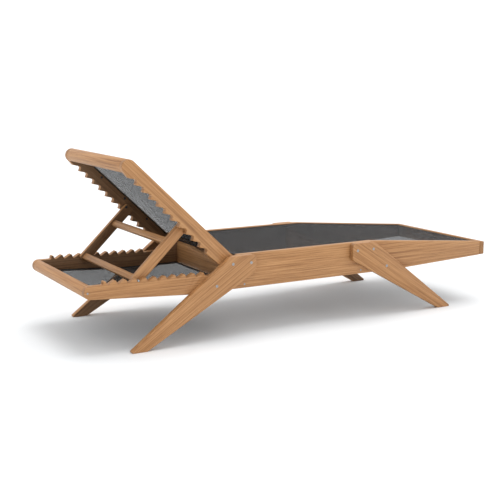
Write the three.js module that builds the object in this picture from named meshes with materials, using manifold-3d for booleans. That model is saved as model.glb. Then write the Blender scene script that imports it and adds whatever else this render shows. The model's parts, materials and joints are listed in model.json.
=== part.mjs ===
// Reclining sun lounger in solid hardwood, with three taut mesh sheets.
// Millimetres, +Z up. X runs along the lounger from the head end (-X) to the
// foot end (+X), Y across it, and the origin is on the ground under its middle.
import * as THREE from 'three';
import { mergeVertices } from 'three/addons/utils/BufferGeometryUtils.js';
import Module from 'manifold-3d';

const wasm = await Module();
wasm.setup();

const degree = Math.PI / 180;

// Overall sizes
const totalLength = 2060;
const railOuterWidth = 656;
const board = 28;                       // thickness of rails and legs
const gap = 0.3;                        // between pieces that touch
const headX = -totalLength / 2;
const footX = totalLength / 2;
const railOuterY = railOuterWidth / 2;
const railInnerY = railOuterY - board;

// Side rail
const seatTopZ = 352;
const railBottomZ = 207;
const kneeX = 346;                      // the top edge starts to fall here
const footTopZ = 291;
const footBottomZ = 229;
const headTaperX = -589;                // the bottom edge starts to rise here
const footTaperX = 485;
const baseNose = { x: headX + 27, z: 260, r: 27 };
const headRailDepth = 31;
const footCornerR = 4;
const footSlope = (seatTopZ - footTopZ) / (footX - kneeX);
const footRise = (footBottomZ - railBottomZ) / (footX - footTaperX);

// Saw-tooth cut that parts the backrest rail from the side rail
const toothPitch = 43;
const toothCount = 11;
const toothFall = 0.9;                  // each tooth lies lower than the one before
const crestX = -943.5;                  // first crest
const crestR = 6;
const crestCentreZ = 295.4;
const crestRise = 3.6;                  // of a crest's centre over its valley's
const valleyR = 6;
const valleyShift = 14.3;               // from a crest to the valley behind it
const kerf = 3;
const pocketShift = 1.2;                // the parked pins' pocket lies a little
const pocketDrop = 0.6;                 // beyond them and below the valleys' line
const hipR = 36.6;                      // the rail's hollow round the hinge

// Backrest
const pivotX = -387;
const pivotZ = 320;
const restAngle = 43.4;                 // raised from flat, in degrees
const backrestRail = 27;                // a little thinner than its slot
const backrestNose = { x: headX + 30, z: 322, r: 30 };
const backrestHeadDepth = 33;

// Prop frame that holds the backrest up
const propAlong = 273.5;                // its pivot from the backrest's pivot
const propBelow = 13;
const propClearance = 1.5;              // from the side rail, with a washer between
const propThickness = 20;
const propAbove = 8;                    // the arm's upper edge over its pivot
const propWidth = 44;
const propCornerR = 10;
const propTopReach = 15;                // the arm runs on past its pivot
const propToeReach = 17;                // and past its pins
const propInnerY = railInnerY - propClearance - propThickness;
const pinDrop = 8.5;                    // pins below the pivot, across the arm
const pinR = 4.5;
const restNotch = 3;                    // the notch that the pins stand in
const barWidth = 28;
const barThickness = 18;
const barSetback = 9;                   // in from the arm's upper edge
const barCornerR = 2;
const upperBarAlong = 92;
const lowerBarShift = 2;                // from the pins towards the pivot

// Legs
const legMirrorX = -25.2;               // foot legs mirror head legs about this
const legTopX = -274.5;
const legToeX = -856;
const legHeelX = -780;
const legShoulderX = -395;
const legKneeZ = 278;
const legBolts = [[-300, 319], [-464, 235]];

// Cross boards under the seat
const crossBoardX = [-331.4, 274];
const crossBoardTopZ = 331;
const crossBoardDish = 38;
const crossBoardEndFlat = 15;
const crossScrewZ = [223, 300];

// Mesh sheets, held by rods in grooves
const sheetThickness = 1.4;
const sheetDrop = 6;                    // below the rail's top edge
const trayRise = 8;                     // above the rail's bottom edge
const slotHeight = 2.6;
const slotDepth = 3;
const chamber = 5.4;
const rodSize = 4;
const seatStart = 44;                   // the seat's sheet starts this far past the hinge
const trayStart = 34;                   // the tray's from the head end
const trayShort = 2;                    // and it stops before the hip board
const backrestStart = 36;               // the backrest's from the head end
const backrestEnd = 12;                 // and it ends past the hinge
const footShort = 1;                    // the seat's stops before the foot rail
const tuck = 0.4;                       // of a sheet past the slot's inner end
const sheetEdgeY = railInnerY + slotDepth + tuck;

// Fasteners
const boltR = 4;
const boltHeadR = 6.2;
const boltHeadHeight = 1.2;
const screwR = 3;
const screwHeadR = 4.2;
const screwHeadHeight = 0.9;
const screwReach = 24;                  // of a screw into the board it holds
const shankShort = 1;                   // a screw ends this far before its hole
const plugDepth = 1;                    // hidden screw under the rail's face
const pivotNutReach = 4;                // hinge bolt past the rail's inner face
const washerR = 9;
const holeGap = 0.4;

// Finishes
const finish = (colour, roughness, metalness) =>
  new THREE.MeshStandardMaterial({ color: colour, roughness, metalness });
const hardwood = () => finish(0xc49260, 0.6, 0);
const sheetCloth = () => finish(0x545454, 0.85, 0);
const steel = () => finish(0xb9bdc0, 0.35, 1);
const plastic = () => finish(0x3a3c3e, 0.7, 0);

const lounger = new THREE.Group();
const backrest = new THREE.Group();
const prop = new THREE.Group();
backrest.position.set(pivotX, 0, pivotZ);
backrest.rotation.y = restAngle * degree;

// Manifold in and out

function toSolid(geometry) {
  const bare = geometry.clone();
  bare.deleteAttribute('normal');
  bare.deleteAttribute('uv');
  const merged = mergeVertices(bare, 1e-4);
  return new wasm.Manifold(new wasm.Mesh({
    numProp: 3,
    vertProperties: merged.attributes.position.array,
    triVerts: Uint32Array.from(merged.index.array),
  }));
}

function toGeometry(solid) {
  const mesh = solid.getMesh();
  const geometry = new THREE.BufferGeometry();
  geometry.setAttribute('position', new THREE.BufferAttribute(mesh.vertProperties, 3));
  geometry.setIndex(new THREE.BufferAttribute(mesh.triVerts, 1));
  geometry.computeVertexNormals();
  return geometry;
}

function cut(geometry, cutters) {
  let solid = toSolid(geometry);
  for (const cutter of cutters) solid = solid.subtract(toSolid(cutter));
  return toGeometry(solid);
}

function add(group, name, geometry, material) {
  const mesh = new THREE.Mesh(geometry, material);
  mesh.name = name;
  group.add(mesh);
  return mesh;
}

// Shapes drawn in the X-Z plane, then given a thickness across Y

// A closed outline from corners [x, z, radius]
function outline(corners) {
  const shape = new THREE.Shape();
  corners.forEach(([x, z, radius], index) => {
    const here = new THREE.Vector2(x, z);
    if (!radius) {
      if (index === 0) shape.moveTo(x, z);
      else shape.lineTo(x, z);
      return;
    }
    const before = corners[(index + corners.length - 1) % corners.length];
    const after = corners[(index + 1) % corners.length];
    const toBefore = new THREE.Vector2(before[0] - x, before[1] - z).normalize();
    const toAfter = new THREE.Vector2(after[0] - x, after[1] - z).normalize();
    const half = Math.acos(THREE.MathUtils.clamp(toBefore.dot(toAfter), -1, 1)) / 2;
    const reach = radius / Math.tan(half);
    const middle = toBefore.clone().add(toAfter).normalize();
    const centre = here.clone().addScaledVector(middle, radius / Math.sin(half));
    const start = here.clone().addScaledVector(toBefore, reach).sub(centre);
    const end = here.clone().addScaledVector(toAfter, reach).sub(centre);
    const clockwise = toBefore.cross(toAfter) > 0;
    if (index === 0) shape.moveTo(centre.x + start.x, centre.y + start.y);
    shape.absarc(centre.x, centre.y, radius, start.angle(), end.angle(), clockwise);
  });
  return shape;
}

function addHole(shape, x, z, radius) {
  const hole = new THREE.Path();
  hole.absarc(x, z, radius + holeGap, 0, 2 * Math.PI, false);
  shape.holes.push(hole);
}

// Thickness runs from yLow to yHigh
function slab(shape, yLow, yHigh, segments = 4) {
  const geometry = new THREE.ExtrudeGeometry(shape, {
    depth: yHigh - yLow,
    bevelEnabled: false,
    curveSegments: segments,
  });
  geometry.rotateX(Math.PI / 2);
  geometry.translate(0, yHigh, 0);
  return geometry;
}

// The same thickness on either side: side -1 is the right, +1 the left
function sideSlab(shape, side, near, far, segments) {
  const low = side > 0 ? near : -far;
  const high = side > 0 ? far : -near;
  return slab(shape, low, high, segments);
}

// Round bar across Y at x, z
function crossRod(x, z, radius, yLow, yHigh, sides = 12) {
  const geometry = new THREE.CylinderGeometry(radius, radius, yHigh - yLow, sides);
  geometry.translate(x, (yLow + yHigh) / 2, z);
  return geometry;
}

// Slope of the flank between a valley and a crest, from their centres
function flankAngle(reach, rise) {
  return Math.atan2(rise, reach) + Math.asin((crestR + valleyR) / Math.hypot(reach, rise));
}

// Height of a valley's centre and of its floor. Valley -1 comes before the first crest.
function valleyCentreZ(tooth) {
  return crestCentreZ - crestRise - tooth * toothFall;
}

function valleyFloorZ(tooth) {
  return valleyCentreZ(tooth) - valleyR;
}

// Saw-tooth line, from the head end to the foot end. grow is 0 on the side
// rail and the kerf on the backrest rail, whose arcs share the same centres.
function teeth(path, grow, firstCorner) {
  const top = crestR + grow;
  const bottom = valleyR - grow;
  const gentle = flankAngle(toothPitch - valleyShift, crestRise - toothFall);
  const steep = flankAngle(valleyShift, crestRise);
  const right = 90 * degree;
  for (let tooth = 0; tooth < toothCount; tooth += 1) {
    const x = crestX + tooth * toothPitch;
    const entry = tooth === 0 ? firstCorner(path, gentle) : gentle;
    path.absarc(x, crestCentreZ - tooth * toothFall, top, right + entry, right - steep, true);
    const exit = tooth === toothCount - 1 ? 0 : gentle;
    path.absarc(x + valleyShift, valleyCentreZ(tooth), bottom,
      3 * right - steep, 3 * right + exit, false);
  }
}

// Side rails: one board each, its teeth under the backrest

const pocketX = pivotX - propAlong - parkedReach() - pocketShift;

// Horizontal reach of the prop arm when the backrest lies flat
function parkedReach() {
  const drop = pivotZ - propBelow - pinCentreZ(-1);
  return Math.sqrt(armLength() ** 2 - drop ** 2);
}

// Height of the pins when they stand in a notch
function pinCentreZ(notch) {
  return valleyFloorZ(notch) + pinR + gap;
}

function notchX(notch) {
  return crestX + valleyShift + notch * toothPitch;
}

// From the prop's pivot to its pins, so that they stand in the rest notch
function armLength() {
  const [x, z] = propPivotAtRest();
  return Math.hypot(notchX(restNotch) - x, pinCentreZ(restNotch) - z);
}

function propPivotAtRest() {
  const sin = Math.sin(restAngle * degree);
  const cos = Math.cos(restAngle * degree);
  return [pivotX - propAlong * cos - propBelow * sin, pivotZ + propAlong * sin - propBelow * cos];
}

function sideRailShape() {
  const shape = new THREE.Shape();
  const { x: noseX, z: noseZ, r: noseR } = baseNose;
  const endX = footX - board - gap;
  shape.moveTo(noseX, noseZ - noseR);
  shape.absarc(noseX, noseZ, noseR, -90 * degree, 90 * degree, true);
  teeth(shape, 0, (path) => {
    const wall = flankAngle(crestX - pocketX, crestRise - toothFall + pocketDrop);
    const z = valleyCentreZ(-1) - pocketDrop;
    path.absarc(pocketX, z, valleyR, 265 * degree, 270 * degree + wall, false);
    return wall;
  });
  shape.absarc(pivotX, pivotZ, hipR, -90 * degree, 0, false);
  shape.lineTo(pivotX + hipR, seatTopZ);
  shape.lineTo(kneeX, seatTopZ);
  shape.lineTo(endX, seatTopZ - footSlope * (endX - kneeX));
  shape.lineTo(endX, railBottomZ + footRise * (endX - footTaperX));
  shape.lineTo(footTaperX, railBottomZ);
  shape.lineTo(headTaperX, railBottomZ);
  shape.closePath();
  return shape;
}

// T-shaped groove in a rail's inner face, along the line from a to b
function groove(side, a, b, innerY, overrun) {
  const length = Math.hypot(b[0] - a[0], b[1] - a[1]);
  const profile = new THREE.Shape();
  const half = slotHeight / 2;
  const mouth = innerY - 1;
  const neck = innerY + slotDepth;
  profile.moveTo(mouth, -half);
  profile.lineTo(neck, -half);
  profile.lineTo(neck, -chamber / 2);
  profile.lineTo(neck + chamber, -chamber / 2);
  profile.lineTo(neck + chamber, chamber / 2);
  profile.lineTo(neck, chamber / 2);
  profile.lineTo(neck, half);
  profile.lineTo(mouth, half);
  profile.closePath();
  const geometry = new THREE.ExtrudeGeometry(profile, {
    depth: length + 2 * overrun,
    bevelEnabled: false,
  });
  // profile x is across the lounger, profile y is up, depth is along the line
  const along = new THREE.Vector3(b[0] - a[0], 0, b[1] - a[1]).normalize();
  const across = new THREE.Vector3(0, side, 0);
  const up = new THREE.Vector3().crossVectors(along, across);
  geometry.applyMatrix4(new THREE.Matrix4().makeBasis(across, up, along));
  geometry.translate(a[0] - along.x * overrun, 0, a[1] - along.z * overrun);
  return geometry;
}

// A thin band of even height along a line of points [x, z]
function band(points, height) {
  const shape = new THREE.Shape();
  const half = height / 2;
  points.forEach(([x, z], index) => {
    if (index === 0) shape.moveTo(x, z - half);
    else shape.lineTo(x, z - half);
  });
  [...points].reverse().forEach(([x, z]) => shape.lineTo(x, z + half));
  shape.closePath();
  return shape;
}

const sheetZ = seatTopZ - sheetDrop;
const seatEndX = footX - board - footShort;
const seatStartX = pivotX + seatStart;
const seatLine = [
  [seatStartX, sheetZ],
  [kneeX, sheetZ],
  [seatEndX, sheetZ - footSlope * (seatEndX - kneeX)],
];
const headRise = (baseNose.z - baseNose.r - railBottomZ) / (headTaperX - baseNose.x);
const trayStartX = headX + trayStart;
const trayLine = [
  [trayStartX, railBottomZ + trayRise + headRise * (headTaperX - trayStartX)],
  [headTaperX, railBottomZ + trayRise],
  [crossBoardX[0] - trayShort, railBottomZ + trayRise],
];

const mirrorX = (x) => 2 * legMirrorX - x;
const headBolts = [[pivotX, pivotZ], ...legBolts];
const footBolts = headBolts.map(([x, z]) => [mirrorX(x), z]);
const crossMiddles = crossBoardX.map((x) => x + board / 2);
const headScrew = [headX + board / 2, baseNose.z];

function sideRail(side) {
  const shape = sideRailShape();
  [...legBolts, ...footBolts].forEach(([x, z]) => addHole(shape, x, z, boltR));
  crossMiddles.forEach((x) => crossScrewZ.forEach((z) => addHole(shape, x, z, screwR)));
  addHole(shape, headScrew[0], headScrew[1], screwR);
  const grooves = [seatLine, trayLine].flatMap((line) => [
    groove(side, line[0], line[1], railInnerY, 1),
    groove(side, line[1], line[2], railInnerY, 1),
  ]);
  return cut(sideSlab(shape, side, railInnerY, railOuterY), grooves);
}

// Head rails: a board with a fully rounded outer edge

function noseRail(nose, back) {
  const half = nose.r - 1;
  const shape = new THREE.Shape();
  shape.moveTo(nose.x, nose.z - nose.r);
  shape.absarc(nose.x, nose.z, nose.r, -90 * degree, 90 * degree, true);
  shape.lineTo(back, nose.z + half);
  shape.lineTo(back, nose.z - half);
  shape.closePath();
  return shape;
}

// Blind screw holes in both ends of a board that spans between the rails
function endHoles(points, depth, endY) {
  return points.flatMap(([x, z]) => [-1, 1].map((side) => {
    const near = side * (endY - depth);
    const far = side * (endY + 1);
    return crossRod(x, z, screwR + holeGap, Math.min(near, far), Math.max(near, far));
  }));
}

function headRail() {
  const shape = noseRail(baseNose, headX + headRailDepth);
  const end = railInnerY - gap;
  return cut(slab(shape, -end, end, 6), endHoles([headScrew], screwReach, end));
}

function footRail() {
  const startX = footX - board;
  const shape = outline([
    [startX, footBottomZ - footRise * board],
    [footX, footBottomZ, footCornerR],
    [footX, footTopZ, footCornerR],
    [startX, footTopZ + footSlope * board],
  ]);
  return slab(shape, -railOuterY, railOuterY);
}

// Cross board, its top edge dished so that the seat's mesh stays clear
function crossBoard(x) {
  const half = railInnerY - gap;
  const chord = half - crossBoardEndFlat;
  const radius = (chord ** 2 + crossBoardDish ** 2) / (2 * crossBoardDish);
  const sweep = Math.asin(chord / radius);
  const shape = new THREE.Shape();
  shape.moveTo(-half, railBottomZ + 1);
  shape.lineTo(half, railBottomZ + 1);
  shape.lineTo(half, crossBoardTopZ);
  shape.absarc(0, crossBoardTopZ - crossBoardDish + radius, radius,
    -90 * degree + sweep, -90 * degree - sweep, true);
  shape.lineTo(-half, crossBoardTopZ);
  shape.closePath();
  const geometry = new THREE.ExtrudeGeometry(shape, {
    depth: board,
    bevelEnabled: false,
    curveSegments: 12,
  });
  // drawn in X-Y, stood up across the lounger
  geometry.rotateX(Math.PI / 2);
  geometry.rotateZ(Math.PI / 2);
  geometry.translate(x, 0, 0);
  const screws = crossScrewZ.map((z) => [x + board / 2, z]);
  return cut(geometry, endHoles(screws, screwReach, half));
}

// Legs: one tapered board, handed by mirroring its outline

function legShape(mirrored) {
  const corners = [
    [legToeX, 0, 5],
    [legHeelX, 0, 5],
    [legTopX, legKneeZ, 18],
    [legTopX, seatTopZ, 18],
    [legShoulderX, seatTopZ, 60],
  ];
  const placed = mirrored
    ? corners.map(([x, z, r]) => [mirrorX(x), z, r]).reverse()
    : corners;
  const shape = outline(placed);
  const bolts = mirrored ? footBolts : headBolts;
  bolts.forEach(([x, z]) => addHole(shape, x, z, boltR));
  return shape;
}

// Bolts: a low domed head on the outer face and a shank towards the middle

function bolt(side, [x, z], headY, endY, size) {
  const { shankR, headR, headHeight } = size;
  const shank = headY - endY;
  const profile = [
    new THREE.Vector2(0, 0),
    new THREE.Vector2(shankR, 0),
    new THREE.Vector2(shankR, shank),
    new THREE.Vector2(headR, shank),
    new THREE.Vector2(headR, shank + headHeight * 0.4),
    new THREE.Vector2(headR * 0.7, shank + headHeight * 0.85),
    new THREE.Vector2(0, shank + headHeight),
  ];
  const geometry = new THREE.LatheGeometry(profile, 12);
  if (side < 0) geometry.rotateX(Math.PI);
  geometry.translate(x, side * endY, z);
  return geometry;
}

const legBolt = { shankR: boltR, headR: boltHeadR, headHeight: boltHeadHeight };
const boardScrew = { shankR: screwR, headR: screwHeadR, headHeight: screwHeadHeight };
const sunkScrew = { shankR: screwR, headR: screwR + 0.1, headHeight: 0.8 };
const flushGap = 0.2;                   // a sunk head below the face

const legOuterY = railOuterY + board + gap;
const sideName = { '-1': 'right', 1: 'left' };

function buildBase() {
  add(lounger, 'head_rail', headRail(), hardwood());
  add(lounger, 'foot_rail', footRail(), hardwood());
  add(lounger, 'hip_cross_board', crossBoard(crossBoardX[0]), hardwood());
  add(lounger, 'knee_cross_board', crossBoard(crossBoardX[1]), hardwood());
  const seat = slab(band(seatLine, sheetThickness), -sheetEdgeY, sheetEdgeY);
  add(lounger, 'seat_mesh', seat, sheetCloth());
  const tray = slab(band(trayLine, sheetThickness), -sheetEdgeY, sheetEdgeY);
  add(lounger, 'tray_mesh', tray, sheetCloth());
  for (const side of [-1, 1]) buildBaseSide(side, sideName[side]);
}

function buildBaseSide(side, name) {
  add(lounger, `side_rail_${name}`, sideRail(side), hardwood());
  const outer = railOuterY + gap;
  add(lounger, `head_leg_${name}`, sideSlab(legShape(false), side, outer, legOuterY), hardwood());
  add(lounger, `foot_leg_${name}`, sideSlab(legShape(true), side, outer, legOuterY), hardwood());
  for (const [sheet, line] of [['seat', seatLine], ['tray', trayLine]]) {
    add(lounger, `${sheet}_edge_rod_${name}`, edgeRod(line, side, railInnerY), plastic());
  }
  const headY = legOuterY + gap;
  const pivot = bolt(side, [pivotX, pivotZ], headY, railInnerY - pivotNutReach, legBolt);
  add(lounger, `backrest_pivot_bolt_${name}`, pivot, steel());
  const bolts = { head_leg: legBolts, foot_leg: footBolts };
  for (const [leg, points] of Object.entries(bolts)) {
    points.forEach((point, index) => {
      const geometry = bolt(side, point, headY, railInnerY + gap, legBolt);
      add(lounger, `${leg}_bolt_${name}_${index + 1}`, geometry, steel());
    });
  }
  const tipY = railInnerY - screwReach + shankShort;
  ['hip', 'knee'].forEach((board, index) => {
    const x = crossMiddles[index];
    const [lowZ, highZ] = crossScrewZ;
    const lower = bolt(side, [x, lowZ], railOuterY + gap, tipY, boardScrew);
    add(lounger, `${board}_board_screw_${name}_lower`, lower, steel());
    const upper = crossRod(x, highZ, screwR, ...spanY(side, tipY, railOuterY - plugDepth));
    add(lounger, `${board}_board_screw_${name}_upper`, upper, steel());
  });
  const headBolt = bolt(side, headScrew, railOuterY + gap, tipY, boardScrew);
  add(lounger, `head_rail_screw_${name}`, headBolt, steel());
}

// Rod in the chamber of a groove that starts at innerY
function edgeRod(line, side, innerY) {
  const middle = innerY + slotDepth + chamber / 2;
  const shape = band(line, rodSize);
  return sideSlab(shape, side, middle - rodSize / 2 + tuck, middle + rodSize / 2);
}

function spanY(side, near, far) {
  return side > 0 ? [near, far] : [-far, -near];
}

// Backrest, drawn flat about its own pivot and then raised

const local = (x, z) => [x - pivotX, z - pivotZ];

function backrestRailShape() {
  const shape = new THREE.Shape();
  const { x: noseX, z: noseZ, r: noseR } = backrestNose;
  const end = seatTopZ - pivotZ;
  shape.moveTo(noseX, noseZ - noseR);
  shape.absarc(noseX, noseZ, noseR, -90 * degree, 90 * degree, true);
  shape.lineTo(pivotX, seatTopZ);
  shape.absarc(pivotX, pivotZ, end, 90 * degree, -90 * degree, true);
  const under = new THREE.Path();
  teeth(under, kerf, (path, gentle) => {
    path.absarc(notchX(-1), valleyCentreZ(-1), valleyR - kerf, 270 * degree,
      270 * degree + gentle, false);
    return gentle;
  });
  under.getPoints(4).reverse().forEach((point) => shape.lineTo(point.x, point.y));
  shape.closePath();
  return shape;
}

const backrestScrew = [headX + backrestNose.r / 2, backrestNose.z];
const backrestLine = [[headX + backrestStart, sheetZ], [pivotX + backrestEnd, sheetZ]];
const backrestInnerY = railInnerY + (board - backrestRail) / 2;
const pivotScrewReach = 20;             // of the prop's pivot into the backrest rail
const propPivotFlat = [pivotX - propAlong, pivotZ - propBelow];

function backrestSideRail(side) {
  const shape = backrestRailShape();
  addHole(shape, pivotX, pivotZ, boltR);
  addHole(shape, backrestScrew[0], backrestScrew[1], screwR);
  const rail = sideSlab(shape, side, backrestInnerY, backrestInnerY + backrestRail);
  const blind = crossRod(propPivotFlat[0], propPivotFlat[1], screwR + holeGap,
    ...spanY(side, backrestInnerY - 1, backrestInnerY + pivotScrewReach));
  const line = groove(side, backrestLine[0], backrestLine[1], backrestInnerY, 1);
  const geometry = cut(rail, [blind, line]);
  return geometry.translate(-pivotX, 0, -pivotZ);
}

function buildBackrest() {
  const end = backrestInnerY - gap;
  const profile = noseRail(backrestNose, headX + backrestHeadDepth);
  const holes = endHoles([backrestScrew], screwReach, end);
  const head = cut(slab(profile, -end, end, 6), holes);
  add(backrest, 'backrest_head_rail', head.translate(-pivotX, 0, -pivotZ), hardwood());
  const edge = backrestInnerY + slotDepth + tuck;
  const sheet = slab(band(backrestLine.map(([x, z]) => local(x, z)), sheetThickness), -edge, edge);
  add(backrest, 'backrest_mesh', sheet, sheetCloth());
  for (const side of [-1, 1]) buildBackrestSide(side, sideName[side]);
}

function buildBackrestSide(side, name) {
  add(backrest, `backrest_rail_${name}`, backrestSideRail(side), hardwood());
  const rod = edgeRod(backrestLine.map(([x, z]) => local(x, z)), side, backrestInnerY);
  add(backrest, `backrest_edge_rod_${name}`, rod, plastic());
  const tipY = backrestInnerY - screwReach + shankShort;
  const headY = backrestInnerY + backrestRail - sunkScrew.headHeight - flushGap;
  const screw = bolt(side, local(...backrestScrew), headY, tipY, sunkScrew);
  add(backrest, `backrest_head_screw_${name}`, screw, steel());
}

// Prop frame, drawn about its pivot with its arms along -X

const armAlong = Math.sqrt(armLength() ** 2 - pinDrop ** 2);

function armShape() {
  const low = propAbove - propWidth;
  const toe = -armAlong - propToeReach;
  const shape = outline([
    [toe, low, propCornerR],
    [propTopReach, low, propCornerR],
    [propTopReach, propAbove, propCornerR],
    [toe, propAbove, propCornerR],
  ]);
  addHole(shape, 0, 0, screwR);
  addHole(shape, -armAlong, -pinDrop, pinR);
  return shape;
}

function crossBar(along) {
  const top = propAbove - barSetback;
  const shape = outline([
    [-along - barWidth / 2, top - barThickness, barCornerR],
    [-along + barWidth / 2, top - barThickness, barCornerR],
    [-along + barWidth / 2, top, barCornerR],
    [-along - barWidth / 2, top, barCornerR],
  ]);
  const end = propInnerY - gap;
  return slab(shape, -end, end, 1);
}

function buildProp() {
  add(prop, 'prop_upper_bar', crossBar(upperBarAlong), hardwood());
  add(prop, 'prop_lower_bar', crossBar(armAlong - lowerBarShift), hardwood());
  for (const side of [-1, 1]) {
    const name = sideName[side];
    const outerY = propInnerY + propThickness;
    add(prop, `prop_arm_${name}`, sideSlab(armShape(), side, propInnerY, outerY, 6), hardwood());
    const pin = crossRod(-armAlong, -pinDrop, pinR,
      ...spanY(side, propInnerY + gap, railInnerY - gap));
    add(prop, `prop_pin_${name}`, pin, steel());
    const tipY = backrestInnerY + pivotScrewReach - shankShort;
    const screw = bolt(-side, [0, 0], -propInnerY + gap, -tipY, boardScrew);
    add(prop, `prop_pivot_screw_${name}`, screw, steel());
    const ring = new THREE.Shape();
    ring.absarc(0, 0, washerR, 0, 2 * Math.PI, false);
    addHole(ring, 0, 0, screwR);
    const washer = sideSlab(ring, side, outerY + gap, backrestInnerY - gap, 6);
    add(prop, `prop_washer_${name}`, washer, steel());
  }
}

buildBase();
buildBackrest();
buildProp();

// The arms lean so that the line from pivot to pin meets the rest notch
const [propRestX, propRestZ] = propPivotAtRest();
const armLean = Math.atan2(propRestZ - pinCentreZ(restNotch), propRestX - notchX(restNotch));
const offAxis = Math.atan2(pinDrop, armAlong);
prop.position.set(propRestX, 0, propRestZ);
prop.rotation.y = -(armLean - offAxis);
lounger.add(backrest);
lounger.add(prop);

export default lounger;
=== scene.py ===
import json
import math
import random

import bmesh
import bpy
from mathutils import Matrix, Vector


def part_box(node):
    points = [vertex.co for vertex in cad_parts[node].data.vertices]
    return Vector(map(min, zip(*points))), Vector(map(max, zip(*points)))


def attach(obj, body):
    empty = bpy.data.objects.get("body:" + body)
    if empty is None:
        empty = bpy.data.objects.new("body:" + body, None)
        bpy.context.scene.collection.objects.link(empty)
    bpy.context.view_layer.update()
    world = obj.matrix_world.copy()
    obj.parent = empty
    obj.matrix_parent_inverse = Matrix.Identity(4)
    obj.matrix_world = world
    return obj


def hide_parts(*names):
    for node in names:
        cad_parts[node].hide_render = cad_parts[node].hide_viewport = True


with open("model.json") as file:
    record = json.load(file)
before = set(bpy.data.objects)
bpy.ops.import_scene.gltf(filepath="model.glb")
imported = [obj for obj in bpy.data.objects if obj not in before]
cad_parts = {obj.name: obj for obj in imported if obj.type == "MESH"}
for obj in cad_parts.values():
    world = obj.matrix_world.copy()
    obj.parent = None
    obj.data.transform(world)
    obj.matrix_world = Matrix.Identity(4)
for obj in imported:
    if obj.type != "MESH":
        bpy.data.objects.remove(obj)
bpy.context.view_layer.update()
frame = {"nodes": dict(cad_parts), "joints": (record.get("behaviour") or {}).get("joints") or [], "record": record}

random.seed(11)

# Metres. X runs from the head end to the foot end, Y across, Z up, and the ground is at 0.
joints = {joint["name"]: joint for joint in frame["joints"]}
pivot = Vector(joints["backrest_recline"]["pos_m"])
propPivot = Vector(joints["prop_swing"]["pos_m"])
sides = {"right": -1, "left": 1}


# Shader nodes

class Value:                                  # a node's output that takes arithmetic
    def __init__(self, shade, socket):
        self.shade = shade
        self.socket = socket

    def math(self, operation, *inputs):
        return self.shade.node("ShaderNodeMath", {"operation": operation}, dict(enumerate(inputs)))

    def __add__(self, other):
        return self.math("ADD", self, other)

    def __radd__(self, other):
        return self.math("ADD", other, self)

    def __sub__(self, other):
        return self.math("SUBTRACT", self, other)

    def __rsub__(self, other):
        return self.math("SUBTRACT", other, self)

    def __mul__(self, other):
        return self.math("MULTIPLY", self, other)

    def __rmul__(self, other):
        return self.math("MULTIPLY", other, self)

    def __truediv__(self, other):
        return self.math("DIVIDE", self, other)

    def __pow__(self, other):
        return self.math("POWER", self, other)

    def __lt__(self, other):
        return self.math("LESS_THAN", self, other)

    def __abs__(self):
        return self.math("ABSOLUTE", self)


class Shade:                                  # one material and its nodes
    def __init__(self, name):
        self.material = bpy.data.materials.new(name)
        self.material.use_nodes = True
        self.tree = self.material.node_tree
        self.tree.nodes.clear()

    def node(self, kind, settings=None, values=None, output=0):
        made = self.tree.nodes.new(kind)
        for key, setting in (settings or {}).items():
            if key == "stops":
                while len(made.color_ramp.elements) < len(setting):
                    made.color_ramp.elements.new(1.0)
                for element, (place, colour) in zip(made.color_ramp.elements, setting):
                    element.position = place
                    element.color = colour
            else:
                setattr(made, key, setting)
        for key, value in (values or {}).items():
            if isinstance(value, Value):
                self.tree.links.new(value.socket, made.inputs[key])
            else:
                made.inputs[key].default_value = value
        return Value(self, made.outputs[output]) if made.outputs else made

    def attribute(self, name, output="Vector"):
        return self.node("ShaderNodeAttribute", {"attribute_name": name}, output=output)

    def stretched(self, vector, factors):
        return self.node("ShaderNodeVectorMath", {"operation": "MULTIPLY"}, {0: vector, 1: factors})

    def noise(self, vector, factors, detail=2.0, roughness=0.5):
        place = self.stretched(vector, factors)
        values = {"Vector": place, "Scale": 1.0, "Detail": detail, "Roughness": roughness}
        return self.node("ShaderNodeTexNoise", None, values)

    def split(self, vector):
        parts = self.node("ShaderNodeSeparateXYZ", None, {0: vector}).socket.node.outputs
        return [Value(self, part) for part in parts]

    def smooth(self, value, low, high, start=0.0, end=1.0):
        values = {"Value": value, "From Min": low, "From Max": high, "To Min": start, "To Max": end}
        return self.node("ShaderNodeMapRange", {"interpolation_type": "SMOOTHSTEP"}, values)

    def mixed(self, factor, first, second, blend="MIX"):
        settings = {"data_type": "RGBA", "blend_type": blend}
        values = {0: factor, 6: first, 7: second}
        return self.node("ShaderNodeMix", settings, values, output=2)

    def bump(self, height, strength, distance):
        values = {"Height": height, "Strength": strength, "Distance": distance}
        return self.node("ShaderNodeBump", None, values)

    def finish(self, values):
        surface = self.node("ShaderNodeBsdfPrincipled", None, values)
        self.node("ShaderNodeOutputMaterial", None, {"Surface": surface})
        return self.material


woodFinish = {
    "rings": 0.0046,                # width of a growth ring
    "heart": 0.24,                  # how far the heart of the log lies below the board
    "wander": 0.022,                # how far the rings drift sideways
    "ringShare": 0.16,              # what each layer adds to the figure
    "streakShare": 0.42,
    "veinShare": 0.30,
    "fibreShare": 0.26,
    "boardShare": 0.3,
    "poreShare": 0.35,
    "poreTone": 0.55,
    "endTone": 0.35,                # how much darker the end grain is
    "innerTone": (0.43, 0.44, 0.47),      # painted shade that darkens the faces towards the middle
    "roughness": 0.50,
    "relief": 0.0004,
}


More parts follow.
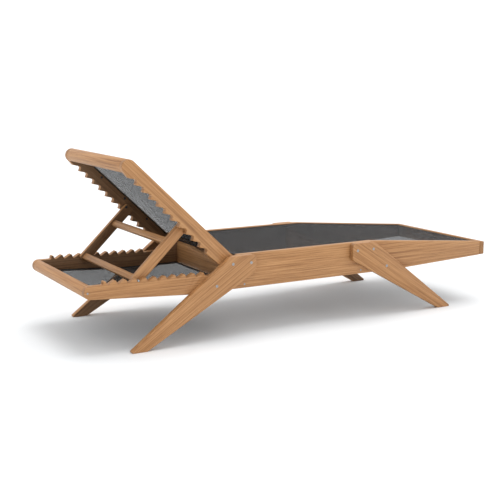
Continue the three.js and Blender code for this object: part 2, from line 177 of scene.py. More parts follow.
def hardwood(name, light, middle, dark):
    shade = Shade(name)
    grain = shade.attribute("grain")              # metres, x along the fibres
    wander = shade.noise(grain, (1.1, 8, 8), 2.0) - 0.5
    _, across, deep = shade.split(grain)
    offset = across + wander * woodFinish["wander"]
    depth = deep + woodFinish["heart"]
    radius = (offset * offset + depth * depth) ** 0.5
    turns = radius / woodFinish["rings"]
    ring = turns.math("PINGPONG", turns, 0.5) * 2
    fibre = shade.noise(grain, (9, 640, 640), 4.0, 0.62)
    streak = shade.smooth(shade.noise(grain, (3.2, 185, 185), 4.0, 0.6), 0.34, 0.68)
    vein = shade.smooth(shade.noise(grain, (5.5, 330, 330), 2.0), 0.50, 0.72)
    board = shade.noise(grain, (0.9, 6, 6), 1.0)
    pores = shade.smooth(shade.noise(grain, (40, 1700, 1700), 1.0), 0.60, 0.72)
    figure = ring ** 1.6 * woodFinish["ringShare"] + streak * woodFinish["streakShare"]
    figure = figure + vein * woodFinish["veinShare"] + fibre * woodFinish["fibreShare"]
    figure = figure + (board - 0.5) * woodFinish["boardShare"]
    stops = [(0.14, (*light, 1)), (0.50, (*middle, 1)), (0.98, (*dark, 1))]
    colour = shade.node("ShaderNodeValToRGB", {"stops": stops}, {0: figure})
    poreColour = (*[part * woodFinish["poreTone"] for part in dark], 1)
    colour = shade.mixed(pores * woodFinish["poreShare"], colour, poreColour)
    ends = shade.attribute("endGrain", "Fac")
    colour = shade.mixed(ends * woodFinish["endTone"], colour, poreColour)
    inner = shade.attribute("innerFace", "Fac")
    innerTone = (*woodFinish["innerTone"], 1)
    # painted shade: the faces that look towards the middle are darkened, as if in shadow
    colour = shade.mixed(inner, colour, shade.mixed(1.0, colour, innerTone, "MULTIPLY"))
    rough = woodFinish["roughness"] + (fibre - 0.5) * 0.2 + pores * 0.1
    height = fibre * 0.6 + ring * 0.2 - pores * 0.5
    return shade.finish({
        "Base Color": colour,
        "Roughness": rough,
        "Normal": shade.bump(height, 0.2, woodFinish["relief"]),
        "Specular IOR Level": 0.45,
    })


weave = {
    "pitch": 0.0030,                # from yarn to yarn
    "cover": 0.50,                  # half width of a yarn, as a share of the pitch
    "soft": 0.25,                   # how softly a yarn ends beside the gap
    "open": 0.24,                   # how much one layer hides in the middle of a gap
    "closed": 0.77,                 # and on a yarn
    "yarn": (0.040, 0.041, 0.0425),
    "yarnWorn": (0.050, 0.0515, 0.053),
    "thread": (0.11, 0.112, 0.115),
    "hem": 0.0150,                  # folded edge, from the sheet's edge
    "hemFade": 0.0008,
    "hemCover": 0.9,                # how much of the gaps the fold closes
    "stitchLine": 0.0125,
    "stitch": 0.005,                # length of a stitch and its gap
    "stitchShare": 0.7,
    "threadHalf": 0.0006,
}


def wovenMesh(name):
    shade = Shade(name)
    cloth = shade.attribute("weave")              # metres along and across the sheet
    along, across, _ = shade.split(cloth)
    waves = []
    for place in (along, across):
        turns = place / weave["pitch"]
        waves.append(abs(turns.math("FRACT", turns) - 0.5) * 2)
    low, high = weave["cover"] - weave["soft"], weave["cover"] + weave["soft"]
    warp, weft = [shade.smooth(wave, low, high) for wave in waves]
    gapShare = warp * weft
    worn = shade.noise(cloth, (9, 9, 9), 3.0, 0.6)
    slub = shade.noise(cloth, (60, 900, 900), 2.0)
    tone = shade.smooth(worn * 0.6 + slub * 0.4, 0.32, 0.70)
    colour = shade.mixed(tone, (*weave["yarn"], 1), (*weave["yarnWorn"], 1))
    toEnd, toSide, _ = shade.split(shade.attribute("edges"))
    toEdge = toEnd.math("MINIMUM", toEnd, toSide)
    hem = shade.smooth(toEdge, weave["hem"], weave["hem"] - weave["hemFade"])
    run = (along + across) / weave["stitch"]
    dash = run.math("FRACT", run) < weave["stitchShare"]
    thread = (abs(toEdge - weave["stitchLine"]) < weave["threadHalf"]) * dash
    colour = shade.mixed(thread, colour, (*weave["thread"], 1))
    alpha = weave["closed"] - gapShare * (weave["closed"] - weave["open"])
    return shade.finish({
        "Base Color": colour,
        "Roughness": 0.78 + slub * 0.12,
        "Alpha": alpha + hem * (1 - alpha) * weave["hemCover"],
        "Normal": shade.bump(hem * 0.8 - gapShare, 0.12, 0.0002),
        "Specular IOR Level": 0.2,
    })


def satinSteel(name, tone):
    shade = Shade(name)
    place = shade.node("ShaderNodeTexCoord", output="Object")
    fine = shade.noise(place, (900, 900, 900), 3.0, 0.6)
    cloud = shade.noise(place, (60, 60, 60), 2.0)
    colour = shade.mixed(cloud, (tone * 0.86, tone * 0.87, tone * 0.88, 1), (tone, tone, tone, 1))
    return shade.finish({
        "Base Color": colour,
        "Metallic": 1.0,
        "Roughness": 0.36 + fine * 0.14 + cloud * 0.1,
        "Normal": shade.bump(fine, 0.08, 0.0002),
    })


def darkSteel(name):
    shade = Shade(name)
    place = shade.node("ShaderNodeTexCoord", output="Object")
    fine = shade.noise(place, (900, 900, 900), 3.0, 0.6)
    colour = shade.mixed(fine, (0.022, 0.022, 0.024, 1), (0.060, 0.060, 0.064, 1))
    return shade.finish({
        "Base Color": colour,
        "Metallic": 0.6,
        "Roughness": 0.42 + fine * 0.16,
        "Normal": shade.bump(fine, 0.08, 0.0002),
    })


def plainPlastic(name):
    shade = Shade(name)
    place = shade.node("ShaderNodeTexCoord", output="Object")
    fine = shade.noise(place, (700, 700, 700), 3.0, 0.6)
    colour = shade.mixed(fine, (0.020, 0.020, 0.021, 1), (0.040, 0.040, 0.042, 1))
    return shade.finish({
        "Base Color": colour,
        "Roughness": 0.5 + fine * 0.2,
        "Normal": shade.bump(fine, 0.15, 0.0002),
    })


teakTones = {
    "light": (0.53, 0.280, 0.117),
    "middle": (0.40, 0.190, 0.069),
    "dark": (0.163, 0.066, 0.021),
}
finishes = {
    "rail_wood": hardwood("railTeak", *teakTones.values()),
    "cross_wood": hardwood("crossTeak", *teakTones.values()),
    "leg_wood": hardwood("legTeak", *teakTones.values()),
    "prop_wood": hardwood("propTeak", *teakTones.values()),
    "sheet_weave": wovenMesh("charcoalWeave"),
    "fastener_steel": satinSteel("boltSteel", 0.42),
    "screw_dark": darkSteel("screwSteel"),
    "edge_rod": plainPlastic("rodPlastic"),
}
print("materials made")


# Mesh helpers

def arc(x, z, radius, start, end, step=9.0):
    # points of an arc, in degrees
    count = max(2, round(abs(end - start) / step)) + 1
    turns = [math.radians(start + (end - start) * k / (count - 1)) for k in range(count)]
    return [(x + radius * math.cos(turn), z + radius * math.sin(turn)) for turn in turns]


def roundedCorners(corners):
    # a closed outline from corners (x, z, radius)
    points = []
    for index, (x, z, radius) in enumerate(corners):
        here = Vector((x, z))
        if not radius:
            points.append((x, z))
            continue
        before = (Vector(corners[index - 1][:2]) - here).normalized()
        after = (Vector(corners[(index + 1) % len(corners)][:2]) - here).normalized()
        half = before.angle(after) / 2
        centre = here + (before + after).normalized() * radius / math.sin(half)
        start = here + before * radius / math.tan(half) - centre
        end = here + after * radius / math.tan(half) - centre
        first = math.degrees(math.atan2(start.y, start.x))
        turn = -math.degrees(start.angle_signed(end))
        points += arc(centre.x, centre.y, radius, first, first + turn)
    return points


def solid(name, mesh, body, finish, cad=(), turn=None):
    # links a finished mesh as a piece that rides on a body
    if turn is not None:
        mesh.transform(turn)
    piece = bpy.data.objects.new(name, mesh)
    bpy.context.scene.collection.objects.link(piece)
    mesh.materials.append(finishes[finish])
    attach(piece, body)
    if cad:
        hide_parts(*cad)
    return piece


def shaped(mesh, modifiers):
    # the mesh with modifiers applied
    maker = bpy.data.objects.new("maker", mesh)
    bpy.context.scene.collection.objects.link(maker)
    for kind, settings in modifiers:
        modifier = maker.modifiers.new(kind, kind)
        for key, value in settings.items():
            setattr(modifier, key, value)
    graph = bpy.context.evaluated_depsgraph_get()
    made = bpy.data.meshes.new_from_object(maker.evaluated_get(graph))
    bpy.data.objects.remove(maker)
    return made


def extruded(points, low, high, across=False):
    # an outline in X-Z given a thickness over Y, or one in Y-Z given a thickness over X
    form = bmesh.new()

    def corner(u, z, deep):
        return form.verts.new((deep, u, z) if across else (u, deep, z))

    near = [corner(u, z, low) for u, z in points]
    far = [corner(u, z, high) for u, z in points]
    form.faces.new(near)
    form.faces.new(far[::-1])
    for k in range(len(points)):
        form.faces.new((near[k], near[k - 1], far[k - 1], far[k]))
    bmesh.ops.remove_doubles(form, verts=form.verts, dist=2e-5)
    bmesh.ops.recalc_face_normals(form, faces=form.faces)
    mesh = bpy.data.meshes.new("board")
    form.to_mesh(mesh)
    form.free()
    return mesh


easing = {
    "segments": 3,
    "from": 35,                     # degrees that an edge turns before it is rounded
}


def eased(mesh, radius):
    settings = {
        "width": radius,
        "segments": easing["segments"],
        "limit_method": "ANGLE",
        "angle_limit": math.radians(easing["from"]),
        "use_clamp_overlap": False,
        "harden_normals": True,
    }
    made = shaped(mesh, [("BEVEL", settings)])
    for face in made.polygons:
        face.use_smooth = True
    return made


grainShift = (4, 0.05, 0.05)    # how far the grain may shift from board to board
endGrainFrom = 0.6              # cosine of a face's normal to the fibres, where end grain starts
innerFacing = 0.9               # and to the crosswise line, for a face that looks inwards


def grained(mesh, direction, side=0):
    # stores each point's place along and across the fibres, how far a face cuts across them,
    # and whether it looks towards the middle of the lounger, where painted shade darkens it
    along = Vector(direction).normalized()
    wide = Vector((0, 1, 0)) if abs(along.y) < 0.5 else Vector((0, 0, 1))
    third = along.cross(wide)
    shift = Vector([random.uniform(-reach, reach) for reach in grainShift])
    stored = mesh.attributes.new("grain", "FLOAT_VECTOR", "POINT")
    for vertex, entry in zip(mesh.vertices, stored.data):
        place = Vector((vertex.co.dot(along), vertex.co.dot(third), vertex.co.dot(wide)))
        entry.vector = place + shift
    ends = mesh.attributes.new("endGrain", "FLOAT", "CORNER")
    for face in mesh.polygons:
        for corner in face.loop_indices:
            cut = abs(face.normal.dot(along)) - endGrainFrom
            ends.data[corner].value = max(0.0, cut) / (1 - endGrainFrom)
    inner = mesh.attributes.new("innerFace", "FLOAT", "CORNER")
    for face in mesh.polygons:
        for corner in face.loop_indices:
            inner.data[corner].value = 1.0 if -side * face.normal.y > innerFacing else 0.0
    return mesh


def span(side, near, far):
    return (near, far) if side > 0 else (-far, -near)


# Saw-tooth cut that parts a side rail from the backrest rail above it

teethCut = {
    "pitch": 0.043,
    "count": 11,
    "fall": 0.0009,                 # each tooth lies lower than the one before
    "crestX": -0.9435,              # first crest
    "crestZ": 0.2954,               # centre of its arc
    "crestRise": 0.0036,            # of that centre over its valley's
    "valleyShift": 0.0143,          # from a crest to the valley behind it
    "radius": 0.006,
    "kerf": 0.003,
    "pocketX": -0.95556,            # pocket that the parked pins lie in
    "pocketDrop": 0.0006,
    "hipRadius": 0.0366,            # the side rail's hollow round the hinge
}
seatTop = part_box("side_rail_right")[1][2]
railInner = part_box("side_rail_left")[0][1]
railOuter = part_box("side_rail_left")[1][1]
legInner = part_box("head_leg_left")[0][1]
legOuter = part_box("head_leg_left")[1][1]


def flankAngle(reach, rise):
    # slope of the flank between a valley and a crest, from their centres
    slope = math.atan2(rise, reach) + math.asin(2 * teethCut["radius"] / math.hypot(reach, rise))
    return math.degrees(slope)


def valleyZ(tooth):
    return teethCut["crestZ"] - teethCut["crestRise"] - tooth * teethCut["fall"]


gentleFlank = flankAngle(teethCut["pitch"] - teethCut["valleyShift"],
                         teethCut["crestRise"] - teethCut["fall"])


def teeth(grow, entry):
    # crests and valleys from the head end to the foot end; grow widens crests on the backrest rail
    cut = teethCut
    steep = flankAngle(cut["valleyShift"], cut["crestRise"])
    points = []
    for k in range(cut["count"]):
        x = cut["crestX"] + k * cut["pitch"]
        z = cut["crestZ"] - k * cut["fall"]
        start = 90 + (gentleFlank if k else entry)
        points += arc(x, z, cut["radius"] + grow, start, 90 - steep)
        exitAngle = 270 if k == cut["count"] - 1 else 270 + gentleFlank
        bottom = (x + cut["valleyShift"], valleyZ(k), cut["radius"] - grow)
        points += arc(*bottom, 270 - steep, exitAngle)
    return points


# Grooves that hold the sheets' edges, and the lines that the sheets follow

grooves = {
    "slot": 0.0026,                 # height and depth of the slot in the face
    "slotDepth": 0.003,
    "chamber": 0.0054,              # the wider part behind it, which holds the rod
    "clear": 0.001,                 # the cutter stands out of the face
    "overlap": 0.0005,              # and reaches into the chamber
    "sheetDrop": 0.006,             # below a rail's top edge
    "overrun": 0.001,
}


def band(line, height, overrun):
    # an outline of even height along a line of points (x, z)
    ahead = (Vector(line[1]) - Vector(line[0])).normalized() * overrun
    back = (Vector(line[-2]) - Vector(line[-1])).normalized() * overrun
    places = [Vector(line[0]) - ahead, *[Vector(point) for point in line[1:-1]],
              Vector(line[-1]) - back]
    low = [(place.x, place.y - height / 2) for place in places]
    high = [(place.x, place.y + height / 2) for place in places]
    return low + high[::-1]


def grooved(mesh, side, face, lines):
    # the board, with a T-shaped groove along each line in its inner face
    part = grooves
    neck = face + part["slotDepth"]
    cutters = []
    for line in lines:
        mouth = band(line, part["slot"], part["overrun"])
        hollow = band(line, part["chamber"], part["overrun"])
        slot = span(side, face - part["clear"], neck + part["overlap"])
        cutters.append(extruded(mouth, *slot))
        cutters.append(extruded(hollow, *span(side, neck, neck + part["chamber"])))
    for cutter in cutters:
        tool = bpy.data.objects.new("cutter", cutter)
        bpy.context.scene.collection.objects.link(tool)
        mesh = shaped(mesh, [("BOOLEAN", {"object": tool, "operation": "DIFFERENCE"})])
        bpy.data.objects.remove(tool)
    return mesh


# Side rails, head rail, foot rail and cross boards

baseFrame = {
    "nose": (-1.003, 0.260, 0.027),       # centre and radius of the rounded head end
    "bottom": 0.207,
    "headTaper": -0.589,
    "footTaper": 0.485,
    "knee": 0.346,
    "footTop": 0.291,
    "footBottom": 0.229,
    "footCorner": 0.004,                  # rounding at the foot rail's outer edges
    "trayClimb": 0.02556,                 # of the tray towards the head end
    "edge": 0.0022,                       # rounding along the boards' edges
}
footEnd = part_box("foot_rail")[1][0]
footSlope = (seatTop - baseFrame["footTop"]) / (footEnd - baseFrame["knee"])
footRise = (baseFrame["footBottom"] - baseFrame["bottom"]) / (footEnd - baseFrame["footTaper"])


def seatLine():
    low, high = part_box("seat_mesh")
    top = seatTop - grooves["sheetDrop"]
    knee = baseFrame["knee"]
    return [(low[0], top), (knee, top), (high[0], top - footSlope * (high[0] - knee))]


def trayLine():
    low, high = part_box("tray_mesh")
    half = (high[2] - low[2] - baseFrame["trayClimb"]) / 2
    bottom = low[2] + half
    return [(low[0], high[2] - half), (baseFrame["headTaper"], bottom), (high[0], bottom)]


def sideRailOutline():
    part = baseFrame
    x, z, radius = part["nose"]
    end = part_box("side_rail_right")[1][0]
    hip = teethCut["hipRadius"]
    drop = teethCut["pocketDrop"]
    wall = flankAngle(teethCut["crestX"] - teethCut["pocketX"],
                      teethCut["crestRise"] - teethCut["fall"] + drop)
    pocket = (teethCut["pocketX"], valleyZ(-1) - drop, teethCut["radius"])
    return [
        *arc(x, z, radius, 270, 90),
        *arc(*pocket, 265, 270 + wall),
        *teeth(0, wall),
        *arc(pivot.x, pivot.z, hip, -90, 0),
        (pivot.x + hip, seatTop),
        (part["knee"], seatTop),
        (end, seatTop - footSlope * (end - part["knee"])),
        (end, part["bottom"] + footRise * (end - part["footTaper"])),
        (part["footTaper"], part["bottom"]),
        (part["headTaper"], part["bottom"]),
    ]


noseStep = 0.001                        # a head rail's flat back is this much thinner each side


def noseOutline(nose, back):
    x, z, radius = nose
    half = radius - noseStep
    return [*arc(x, z, radius, 270, 90), (back, z + half), (back, z - half)]


crossBoards = {
    "dish": 0.038,                  # depth of the hollow in the top edge
    "flat": 0.015,                  # left flat at each end
    "step": 2.0,                    # degrees between the curve's points
}


def crossBoardOutline(node):
    low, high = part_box(node)
    dish = crossBoards["dish"]
    chord = high[1] - crossBoards["flat"]
    radius = (chord ** 2 + dish ** 2) / (2 * dish)
    sweep = math.degrees(math.asin(chord / radius))
    ends = (-90 + sweep, -90 - sweep)
    curve = arc(0, high[2] - dish + radius, radius, *ends, crossBoards["step"])
    return [(low[1], low[2]), (high[1], low[2]), (high[1], high[2]), *curve, (low[1], high[2])]


def buildBaseBoards():
    edge = baseFrame["edge"]
    for name, side in sides.items():
        mesh = extruded(sideRailOutline(), *span(side, railInner, railOuter))
        mesh = grooved(eased(mesh, edge), side, railInner, [seatLine(), trayLine()])
        mesh = grained(mesh, (1, 0, 0), side)
        solid(f"sideRail{name.title()}", mesh, "base", "rail_wood", [f"side_rail_{name}"])
    low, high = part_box("head_rail")
    mesh = extruded(noseOutline(baseFrame["nose"], high[0]), low[1], high[1])
    mesh = grained(eased(mesh, edge / 2), (0, 1, 0))
    solid("headRail", mesh, "base", "cross_wood", ["head_rail"])
    low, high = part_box("foot_rail")
    outline = roundedCorners([
        (low[0], low[2], 0),
        (high[0], baseFrame["footBottom"], baseFrame["footCorner"]),
        (high[0], baseFrame["footTop"], baseFrame["footCorner"]),
        (low[0], high[2], 0),
    ])
    mesh = grained(eased(extruded(outline, low[1], high[1]), edge), (0, 1, 0))
    solid("footRail", mesh, "base", "cross_wood", ["foot_rail"])
    for name in ("hip", "knee"):
        node = f"{name}_cross_board"
        low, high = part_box(node)
        mesh = extruded(crossBoardOutline(node), low[0], high[0], across=True)
        mesh = grained(eased(mesh, edge), (0, 1, 0))
        solid(f"{name}CrossBoard", mesh, "base", "cross_wood", [node])


legs = {
    "toe": -0.856,
    "heel": -0.780,
    "top": -0.2745,                 # the upright edge beside the seat
    "kneeZ": 0.278,
    "shoulder": -0.395,
    "mirror": -0.0252,              # foot legs mirror head legs about this X
    "toeCorner": 0.005,
    "topCorner": 0.018,
    "shoulderCorner": 0.060,
    "grainSlope": 33,               # degrees
    "edge": 0.003,
}


def legOutline(mirrored):
    part = legs
    corners = [
        (part["toe"], 0, part["toeCorner"]),
        (part["heel"], 0, part["toeCorner"]),
        (part["top"], part["kneeZ"], part["topCorner"]),
        (part["top"], seatTop, part["topCorner"]),
        (part["shoulder"], seatTop, part["shoulderCorner"]),
    ]
    if mirrored:
        corners = [(2 * part["mirror"] - x, z, radius) for x, z, radius in corners][::-1]
    return roundedCorners(corners)


def buildLegs():
    for end, mirrored in (("head", False), ("foot", True)):
        direction = (-1 if mirrored else 1, 0, math.tan(math.radians(legs["grainSlope"])))
        for name, side in sides.items():
            mesh = extruded(legOutline(mirrored), *span(side, legInner, legOuter))
            mesh = grained(eased(mesh, legs["edge"]), direction, side)
            solid(f"{end}Leg{name.title()}", mesh, "base", "leg_wood", [f"{end}_leg_{name}"])


buildBaseBoards()
buildLegs()
print("base boards made")


# Backrest, drawn flat and then raised about its pivot

backrest = {
    "angle": 43.4,
    "nose": (-1.000, 0.322, 0.030),
    "headBack": -0.997,
    "headGap": 0.0003,              # between the head rail's end and the side board
    "sheetStart": -0.994,
    "sheetEnd": 0.012,              # past the hinge
    "edge": 0.0022,
}
raised = (Matrix.Translation(pivot) @ Matrix.Rotation(math.radians(backrest["angle"]), 4, "Y")
          @ Matrix.Translation(-pivot))
backInner, backOuter = (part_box("backrest_rail_left")[k][1] for k in (0, 1))


def backrestRailOutline():
    x, z, radius = backrest["nose"]
    first = (teethCut["crestX"] + teethCut["valleyShift"] - teethCut["pitch"], valleyZ(-1),
             teethCut["radius"] - teethCut["kerf"])
    under = [*arc(*first, 270, 270 + gentleFlank), *teeth(teethCut["kerf"], gentleFlank)]
    return [
        *arc(x, z, radius, 270, 90),
        *arc(pivot.x, pivot.z, seatTop - pivot.z, 90, -90),
        *under[::-1],
    ]


def backrestLine():
    drop = seatTop - grooves["sheetDrop"]
    return [(backrest["sheetStart"], drop), (pivot.x + backrest["sheetEnd"], drop)]


def buildBackrestBoards():
    edge = backrest["edge"]
    for name, side in sides.items():
        mesh = extruded(backrestRailOutline(), *span(side, backInner, backOuter))
        mesh = grooved(eased(mesh, edge), side, backInner, [backrestLine()])
        mesh = grained(mesh, (1, 0, 0), side)
        cad = [f"backrest_rail_{name}"]
        solid(f"backrestRail{name.title()}", mesh, "backrest", "rail_wood", cad, raised)
    end = backInner - backrest["headGap"]
    mesh = extruded(noseOutline(backrest["nose"], backrest["headBack"]), -end, end)
    mesh = grained(eased(mesh, edge / 2), (0, 1, 0))
    solid("backrestHeadRail", mesh, "backrest", "cross_wood", ["backrest_head_rail"], raised)


# Prop frame, drawn with its arms along -X from the pivot

prop = {
    "width": 0.044,
    "above": 0.008,                 # the arm's upper edge over its pivot
    "pastPivot": 0.015,             # the arm runs on past its pivot
    "pastPins": 0.017,              # and past its pins
    "corner": 0.010,
    "pinDrop": 0.0085,              # pins below the pivot, across the arm
    "barWidth": 0.028,
    "barThickness": 0.018,
    "barSetback": 0.009,
    "upperBar": 0.092,
    "lowerBarShift": 0.002,
    "edge": 0.002,
}
pinCentre = (Vector(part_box("prop_pin_left")[0]) + Vector(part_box("prop_pin_left")[1])) / 2
pinReach = Vector((pinCentre.x - propPivot.x, pinCentre.z - propPivot.z))
armAlong = math.sqrt(pinReach.length ** 2 - prop["pinDrop"] ** 2)
armTurn = math.atan2(pinReach.y, -pinReach.x) + math.atan2(prop["pinDrop"], armAlong)
hung = Matrix.Translation((propPivot.x, 0, propPivot.z)) @ Matrix.Rotation(armTurn, 4, "Y")
armInner, armOuter = (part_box("prop_arm_left")[k][1] for k in (0, 1))


def buildProp():
    low = prop["above"] - prop["width"]
    toe = -armAlong - prop["pastPins"]
    outline = roundedCorners([
        (toe, low, prop["corner"]),
        (prop["pastPivot"], low, prop["corner"]),
        (prop["pastPivot"], prop["above"], prop["corner"]),
        (toe, prop["above"], prop["corner"]),
    ])
    for name, side in sides.items():
        mesh = extruded(outline, *span(side, armInner, armOuter))
        mesh = grained(eased(mesh, prop["edge"]), (1, 0, 0), side)
        cad = [f"prop_arm_{name}"]
        solid(f"propArm{name.title()}", mesh, "prop", "prop_wood", cad, hung)
    top = prop["above"] - prop["barSetback"]
    wide = prop["barWidth"] / 2
    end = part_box("prop_upper_bar")[1][1]
    lower = armAlong - prop["lowerBarShift"]
    deep = prop["barThickness"]
    for name, along in (("upper", prop["upperBar"]), ("lower", lower)):
        corners = ((-wide, 0), (wide, 0), (wide, deep), (-wide, deep))
        outline = [(-along + x, top - z) for x, z in corners]
        mesh = grained(eased(extruded(outline, -end, end), prop["edge"]), (0, 1, 0))
        solid(f"prop{name.title()}Bar", mesh, "prop", "prop_wood", [f"prop_{name}_bar"], hung)


buildBackrestBoards()
buildProp()
print("backrest and prop made")


# Bolts, screws, pins and washers

fasteners = {
    "sides": 36,
    "sharpFrom": 38,                # degrees that an edge turns before it shades as sharp
    "socket": 0.45,                 # key socket across, as a share of the head
    "socketDepth": 0.8,             # and its depth, as a share of the head's height
    "socketLip": 1.25,              # where the dome ends, as a share of the socket
    "rim": 0.35,                    # upright part of the head, as a share of its height
    "domeSteps": 5,
    "tipShare": 0.8,                # the shank's tip
    "tipEase": 0.0008,
    "bolt": 0.004,                  # shanks
    "screw": 0.003,
    "pivotScrewHead": 0.0062,
    "pinShort": 0.0015,             # pins stop this far inside the rail's outer face
    "pinEase": 0.0007,
    "seat": 0.0001,                 # heads stand this far off the wood
    "railScrews": (-0.834, -0.684, -0.535),
    "railScrewDrop": 0.0165,        # below the rail's top edge
    "railScrewHead": 0.0055,
    "railScrewProud": 0.0010,
    "railScrewDepth": 0.004,
}


def turned(name, rings, side, place, body, finish, cad):
    # a turned solid along Y from rings (radius, depth, is a hexagon), depth growing outwards
    count = fasteners["sides"]
    form = bmesh.new()
    loops = []
    for radius, depth, hexagon in rings:
        loop = []
        for k in range(count):
            angle = 2 * math.pi * k / count
            reach = radius
            if hexagon:
                reach = radius / math.cos((angle % (math.pi / 3)) - math.pi / 6)
            x = place[0] + reach * math.cos(angle)
            z = place[1] + reach * math.sin(angle)
            loop.append(form.verts.new((x, side * depth, z)))
        loops.append(loop)
    for inner, outer in zip(loops, loops[1:]):
        for k in range(count):
            form.faces.new((inner[k - 1], inner[k], outer[k], outer[k - 1]))
    form.faces.new(loops[0])
    form.faces.new(loops[-1])
    bmesh.ops.recalc_face_normals(form, faces=form.faces)
    mesh = bpy.data.meshes.new(name)
    form.to_mesh(mesh)
    form.free()
    for face in mesh.polygons:
        face.use_smooth = len(face.vertices) == 4
    mesh.set_sharp_from_angle(angle=math.radians(fasteners["sharpFrom"]))
    return solid(name, mesh, body, finish, cad)


def headedRings(shank, head, start, seat, height):
    # shank, domed head and key socket
    part = fasteners
    key = head * part["socket"]
    lip = key * part["socketLip"]
    top = seat + height
    floor = top - height * part["socketDepth"]
    rings = [(shank * part["tipShare"], start, False), (shank, start + part["tipEase"], False),
             (shank, seat, False), (head, seat, False), (head, seat + height * part["rim"], False)]
    for k in range(1, part["domeSteps"]):
        turn = math.radians(90 * k / part["domeSteps"])
        rise = part["rim"] + (1 - part["rim"]) * math.sin(turn)
        rings.append((lip + (head - lip) * math.cos(turn), seat + height * rise, False))
    rings += [(key * 1.2, top, False), (key, top, True)]
    rings += [(key, floor, True), (key * 0.2, floor, True)]
    return rings


def pinRings(radius, start, end):
    ease = fasteners["pinEase"]
    return [(radius - ease, start, False), (radius, start + ease, False),
            (radius, end - ease, False), (radius - ease, end, False)]


def buildRailScrews():
    # small screws on the backrest rails' inner faces, which hold the mesh's edge rods
    head = fasteners["railScrewHead"]
    proud = fasteners["railScrewProud"]
    for name, side in sides.items():
        for count, x in enumerate(fasteners["railScrews"], 1):
            place = raised @ Vector((x, 0, seatTop - fasteners["railScrewDrop"]))
            start = -backInner - fasteners["railScrewDepth"]
            rings = headedRings(head / 2, head, start, -backInner, proud)
            piece = f"railScrew{name.title()}{count}"
            turned(piece, rings, -side, (place.x, place.z), "backrest", "screw_dark", [])


def camelName(node):
    first, *rest = node.split("_")
    return first + "".join(part.title() for part in rest)


def buildFasteners():
    seat = fasteners["seat"]
    for node in frame["nodes"]:
        side = 1 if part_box(node)[0][1] > 0 else -1
        low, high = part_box(node)
        place = ((low[0] + high[0]) / 2, (low[2] + high[2]) / 2)
        near, far = sorted((abs(low[1]), abs(high[1])))
        head = (high[0] - low[0]) / 2
        name = camelName(node)
        if "leg_bolt" in node or "pivot_bolt" in node:
            rings = headedRings(fasteners["bolt"], head, near, legOuter + seat, far - legOuter)
            turned(name, rings, side, place, "base", "fastener_steel", [node])
        elif node.endswith("lower") or node.startswith("head_rail_screw"):
            rings = headedRings(fasteners["screw"], head, near, railOuter + seat, far - railOuter)
            turned(name, rings, side, place, "base", "fastener_steel", [node])
        elif node.startswith("prop_pivot_screw"):
            head = fasteners["pivotScrewHead"]
            rings = headedRings(fasteners["screw"], head, -far, seat - armInner, armInner - near)
            turned(name, rings, -side, place, "prop", "screw_dark", [node])
        elif node.startswith("prop_pin"):
            rings = pinRings(head, near, railOuter - fasteners["pinShort"])
            turned(name, rings, side, place, "prop", "fastener_steel", [node])


buildFasteners()
buildRailScrews()
print("fasteners made")


# Mesh sheets

sheets = {
    "thickness": 0.0010,
    "sag": 0.004,
    "traySag": 0.009,
    "endRun": 0.12,                 # over this length from each end the sag sets in
    "creaseShare": 0.45,            # of the sag that is left on a crease
    "creaseRun": 0.25,
    "grid": 0.012,
}


def sheetMesh(line, halfWidth, sag, creases=()):
    # a taut sheet over a line of points (x, z), which dips between its long edges
    lengths = [0.0]
    for (x0, z0), (x1, z1) in zip(line, line[1:]):
        lengths.append(lengths[-1] + math.hypot(x1 - x0, z1 - z0))
    total = lengths[-1]
    rows = round(total / sheets["grid"])
    columns = round(2 * halfWidth / sheets["grid"])
    form = bmesh.new()
    places = []
    edges = []
    grid = []
    for row in range(rows + 1):
        run = total * row / rows
        part = max(k for k in range(len(line) - 1) if lengths[k] <= run + 1e-9)
        share = (run - lengths[part]) / (lengths[part + 1] - lengths[part])
        x = line[part][0] + share * (line[part + 1][0] - line[part][0])
        z = line[part][1] + share * (line[part + 1][1] - line[part][1])
        ends = min(1.0, run / sheets["endRun"], (total - run) / sheets["endRun"])
        dip = sag * (1 - (1 - ends) ** 2)
        for near in creases:
            dip *= min(1.0, sheets["creaseShare"] + abs(x - near) / sheets["creaseRun"])
        loop = []
        for column in range(columns + 1):
            y = -halfWidth + 2 * halfWidth * column / columns
            loop.append(form.verts.new((x, y, z - dip * (1 - (y / halfWidth) ** 2))))
            places.append((run, y, 0))
            edges.append((min(run, total - run), halfWidth - abs(y), 0))
        grid.append(loop)
    for lower, upper in zip(grid, grid[1:]):
        for k in range(columns):
            form.faces.new((lower[k], lower[k + 1], upper[k + 1], upper[k]))
    mesh = bpy.data.meshes.new("sheet")
    form.to_mesh(mesh)
    form.free()
    for name, values in (("weave", places), ("edges", edges)):
        stored = mesh.attributes.new(name, "FLOAT_VECTOR", "POINT")
        for entry, value in zip(stored.data, values):
            entry.vector = value
    for face in mesh.polygons:
        face.use_smooth = True
    thick = {"thickness": sheets["thickness"], "offset": 0.0}
    return shaped(mesh, [("SOLIDIFY", thick)]), total


def buildSheets():
    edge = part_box("seat_mesh")[1][1]
    mesh, length = sheetMesh(seatLine(), edge, sheets["sag"], [baseFrame["knee"]])
    piece = solid("seatMesh", mesh, "base", "sheet_weave", ["seat_mesh"])
    mesh, length = sheetMesh(trayLine(), edge, sheets["traySag"])
    piece = solid("trayMesh", mesh, "base", "sheet_weave", ["tray_mesh"])
    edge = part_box("backrest_mesh")[1][1]
    mesh, length = sheetMesh(backrestLine(), edge, sheets["sag"])
    piece = solid("backrestMesh", mesh, "backrest", "sheet_weave", ["backrest_mesh"], raised)


buildSheets()
print("sheets made")

# The finish of each CAD piece, for those that stay in sight
slots = {part["node"]: part["material_slot"] for part in frame["record"]["subparts"]}
for node, obj in frame["nodes"].items():
    obj.data.materials.clear()
    obj.data.materials.append(finishes[slots[node]])


# Floor, lights and camera

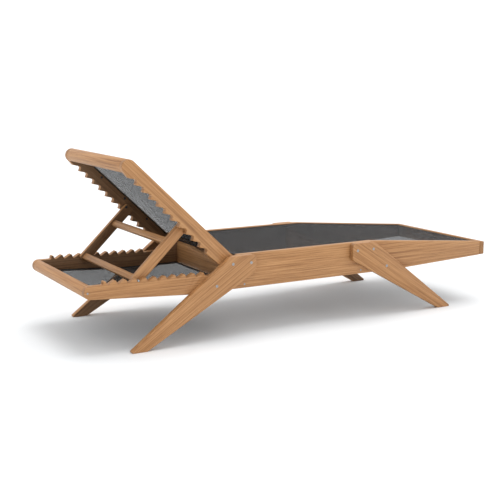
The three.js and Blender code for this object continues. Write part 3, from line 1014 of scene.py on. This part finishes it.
studio = {
    "floor": (0.875, 0.893, 0.908),
    "floorSize": 60,
    "backdrop": 1.1,                # what the camera sees past the floor
    "sky": 1.0,                     # fill from all round
    "sun": 1.25,
    "sunSpread": 42.0,              # its width in degrees
    "sunFrom": (0.22, 0.03, 1.0),
}


def buildStudio():
    bpy.ops.mesh.primitive_plane_add(size=studio["floorSize"], location=(0, 0, 0))
    floor = bpy.context.object
    floor.name = "floor"
    shade = Shade("paleFloor")
    values = {"Base Color": (*studio["floor"], 1), "Roughness": 0.9}
    floor.data.materials.append(shade.finish(values))
    world = bpy.data.worlds.new("studioWorld")
    bpy.context.scene.world = world
    world.use_nodes = True
    nodes = world.node_tree.nodes
    sky = nodes["Background"]
    sky.inputs["Color"].default_value = (1, 1, 1, 1)
    seen = nodes.new("ShaderNodeLightPath")       # the backdrop itself shows white
    level = nodes.new("ShaderNodeMapRange")
    level.inputs["To Min"].default_value = studio["sky"]
    level.inputs["To Max"].default_value = studio["backdrop"]
    world.node_tree.links.new(seen.outputs["Is Camera Ray"], level.inputs["Value"])
    world.node_tree.links.new(level.outputs["Result"], sky.inputs["Strength"])
    light = bpy.data.lights.new("sun", "SUN")
    light.energy = studio["sun"]
    light.angle = math.radians(studio["sunSpread"])
    lamp = bpy.data.objects.new("sun", light)
    lamp.rotation_euler = Vector(studio["sunFrom"]).to_track_quat("Z", "Y").to_euler()
    bpy.context.scene.collection.objects.link(lamp)
    bpy.context.scene.view_settings.view_transform = "Standard"


view = {
    "place": (-2.3078, -3.8429, 1.1044),
    "turn": 29.82,                  # degrees, to the right of +Y
    "down": 10.31,
    "lens": 70.33,                  # in mm
}


def buildCamera():
    lens = bpy.data.cameras.new("camera")
    lens.lens = view["lens"]
    lens.sensor_width = 36
    camera = bpy.data.objects.new("camera", lens)
    camera.location = view["place"]
    camera.rotation_euler = (math.radians(90 - view["down"]), 0, -math.radians(view["turn"]))
    bpy.context.scene.collection.objects.link(camera)
    bpy.context.scene.camera = camera


buildStudio()
buildCamera()
print("studio made")
